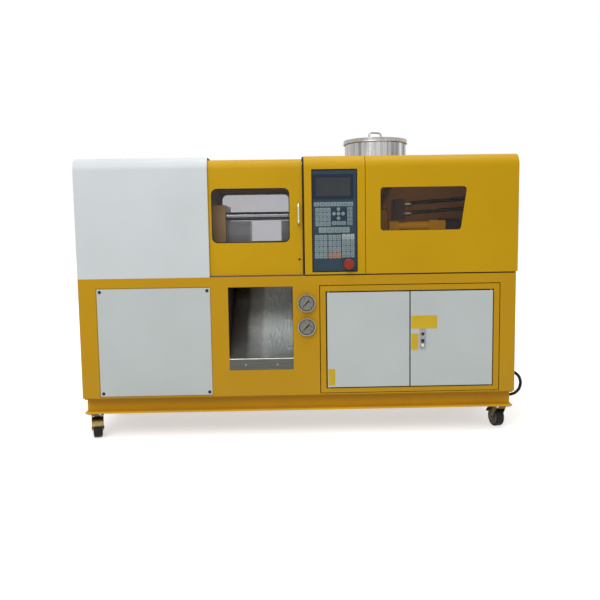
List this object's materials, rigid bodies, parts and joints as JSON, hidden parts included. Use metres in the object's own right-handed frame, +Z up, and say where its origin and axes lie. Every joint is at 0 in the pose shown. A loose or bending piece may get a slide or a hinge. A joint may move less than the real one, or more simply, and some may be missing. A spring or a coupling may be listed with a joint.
{
  "type": "injection moulding machine",
  "caption": "Small enclosed horizontal injection moulding machine with sliding safety door, hopper, control panel and cabinet on casters.",
  "frame": {"origin": "middle of the footprint on the floor", "axes": "+X along the machine towards the hopper end, +Y from the operator's side to the back, +Z up"},
  "size_m": [1.732, 0.508, 1.1853],
  "materials": {
    "yellow_paint": "satin",
    "grey_paint": "satin",
    "stainless": "satin",
    "chromed_steel": "gloss",
    "dark_metal": "satin",
    "bright_steel": "satin",
    "zinc_plate": "satin",
    "black_rubber": "matte",
    "black_plastic": "matte",
    "smoked_pane": "gloss",
    "console_plastic": "satin",
    "screen_glass": "gloss",
    "key_plastic": "satin",
    "red_plastic": "gloss"
  },
  "bodies": {
    "machine": {"base_side_channels": "yellow_paint", "base_end_channels": "yellow_paint", "caster_plates": "zinc_plate", "cabinet_floor": "yellow_paint", "cabinet_front": "yellow_paint", "cabinet_sides": "yellow_paint", "cabinet_back": "yellow_paint", "machine_bed": "yellow_paint", "access_panels": "grey_paint", "chute_floor": "stainless", "chute_sides": "stainless", "pressure_gauges": "dark_metal", "electrical_box": "yellow_paint", "mounting_plate": "zinc_plate", "clamp_cover": "grey_paint", "door_rails": "bright_steel", "rear_guard": "yellow_paint", "fixed_windows": "smoked_pane", "control_housing": "yellow_paint", "control_panel": "console_plastic", "display_screen": "screen_glass", "keypad": "key_plastic", "injection_cover": "yellow_paint", "cover_seals": "black_rubber", "hopper": "stainless", "hopper_cone": "stainless", "rear_platen": "yellow_paint", "clamp_cylinder": "dark_metal", "tie_bars": "chromed_steel", "fixed_platen": "yellow_paint", "fixed_mould_base": "bright_steel", "barrel": "bright_steel", "feed_block": "yellow_paint", "injection_carriage": "yellow_paint", "injection_cylinders": "yellow_paint", "screw_motor": "dark_metal", "hose_manifold": "dark_metal", "hydraulic_hoses": "black_rubber", "cable_glands": "black_plastic", "supply_cable": "black_rubber"},
    "door": {"safety_door": "yellow_paint", "door_window": "smoked_pane", "door_handle": "chromed_steel"},
    "cabinet_door_left": {"electrical_door_left": "grey_paint"},
    "cabinet_door_right": {"electrical_door_right": "grey_paint", "door_latch": "dark_metal"},
    "platen": {"moving_platen": "yellow_paint", "moving_mould_base": "bright_steel", "clamp_ram": "chromed_steel"},
    "lid": {"hopper_lid": "stainless"},
    "stop_button": {"emergency_stop": "red_plastic"},
    "fork_front_left": {"caster_fork_front_left": "zinc_plate"},
    "wheel_front_left": {"caster_wheel_front_left": "black_rubber"},
    "fork_front_right": {"caster_fork_front_right": "zinc_plate"},
    "wheel_front_right": {"caster_wheel_front_right": "black_rubber"},
    "fork_rear_left": {"caster_fork_rear_left": "zinc_plate"},
    "wheel_rear_left": {"caster_wheel_rear_left": "black_rubber"},
    "fork_rear_right": {"caster_fork_rear_right": "zinc_plate"},
    "wheel_rear_right": {"caster_wheel_rear_right": "black_rubber"}
  },
  "joints": [
    {"name": "door_slide", "type": "slide", "parent": "machine", "child": "door", "axis": [-1, 0, 0], "range_m": [0, 0.32]},
    {"name": "cabinet_left_hinge", "type": "hinge", "parent": "machine", "child": "cabinet_door_left", "pos_m": [0.115, -0.222, 0.3735], "axis": [0, 0, -1], "range_deg": [0, 100]},
    {"name": "cabinet_right_hinge", "type": "hinge", "parent": "machine", "child": "cabinet_door_right", "pos_m": [0.736, -0.222, 0.3735], "axis": [0, 0, 1], "range_deg": [0, 100]},
    {"name": "platen_slide", "type": "slide", "parent": "machine", "child": "platen", "axis": [-1, 0, 0], "range_m": [-0.118, 0]},
    {"name": "lid_lift", "type": "slide", "parent": "machine", "child": "lid", "axis": [0, 0, 1], "range_m": [0, 0.15]},
    {"name": "stop_press", "type": "slide", "parent": "machine", "child": "stop_button", "axis": [0, 1, 0], "range_m": [0, 0.005], "stiffness_N_per_m": 1500},
    {"name": "swivel_front_left", "type": "hinge", "parent": "machine", "child": "fork_front_left", "pos_m": [-0.797, -0.156, 0.0857], "axis": [0, 0, 1], "continuous": true},
    {"name": "roll_front_left", "type": "hinge", "parent": "fork_front_left", "child": "wheel_front_left", "pos_m": [-0.79001, -0.18208, 0.0375], "axis": [0.9659, 0.2588, 0], "continuous": true},
    {"name": "swivel_front_right", "type": "hinge", "parent": "machine", "child": "fork_front_right", "pos_m": [0.797, -0.156, 0.0857], "axis": [0, 0, 1], "continuous": true},
    {"name": "roll_front_right", "type": "hinge", "parent": "fork_front_right", "child": "wheel_front_right", "pos_m": [0.79047, -0.1298, 0.0375], "axis": [0.9703, 0.2419, 0], "continuous": true},
    {"name": "swivel_rear_left", "type": "hinge", "parent": "machine", "child": "fork_rear_left", "pos_m": [-0.797, 0.184, 0.0857], "axis": [0, 0, 1], "continuous": true},
    {"name": "roll_rear_left", "type": "hinge", "parent": "fork_rear_left", "child": "wheel_rear_left", "pos_m": [-0.797, 0.211, 0.0375], "axis": [1, 0, 0], "continuous": true},
    {"name": "swivel_rear_right", "type": "hinge", "parent": "machine", "child": "fork_rear_right", "pos_m": [0.797, 0.184, 0.0857], "axis": [0, 0, 1], "continuous": true},
    {"name": "roll_rear_right", "type": "hinge", "parent": "fork_rear_right", "child": "wheel_rear_right", "pos_m": [0.797, 0.211, 0.0375], "axis": [1, 0, 0], "continuous": true}
  ]
}
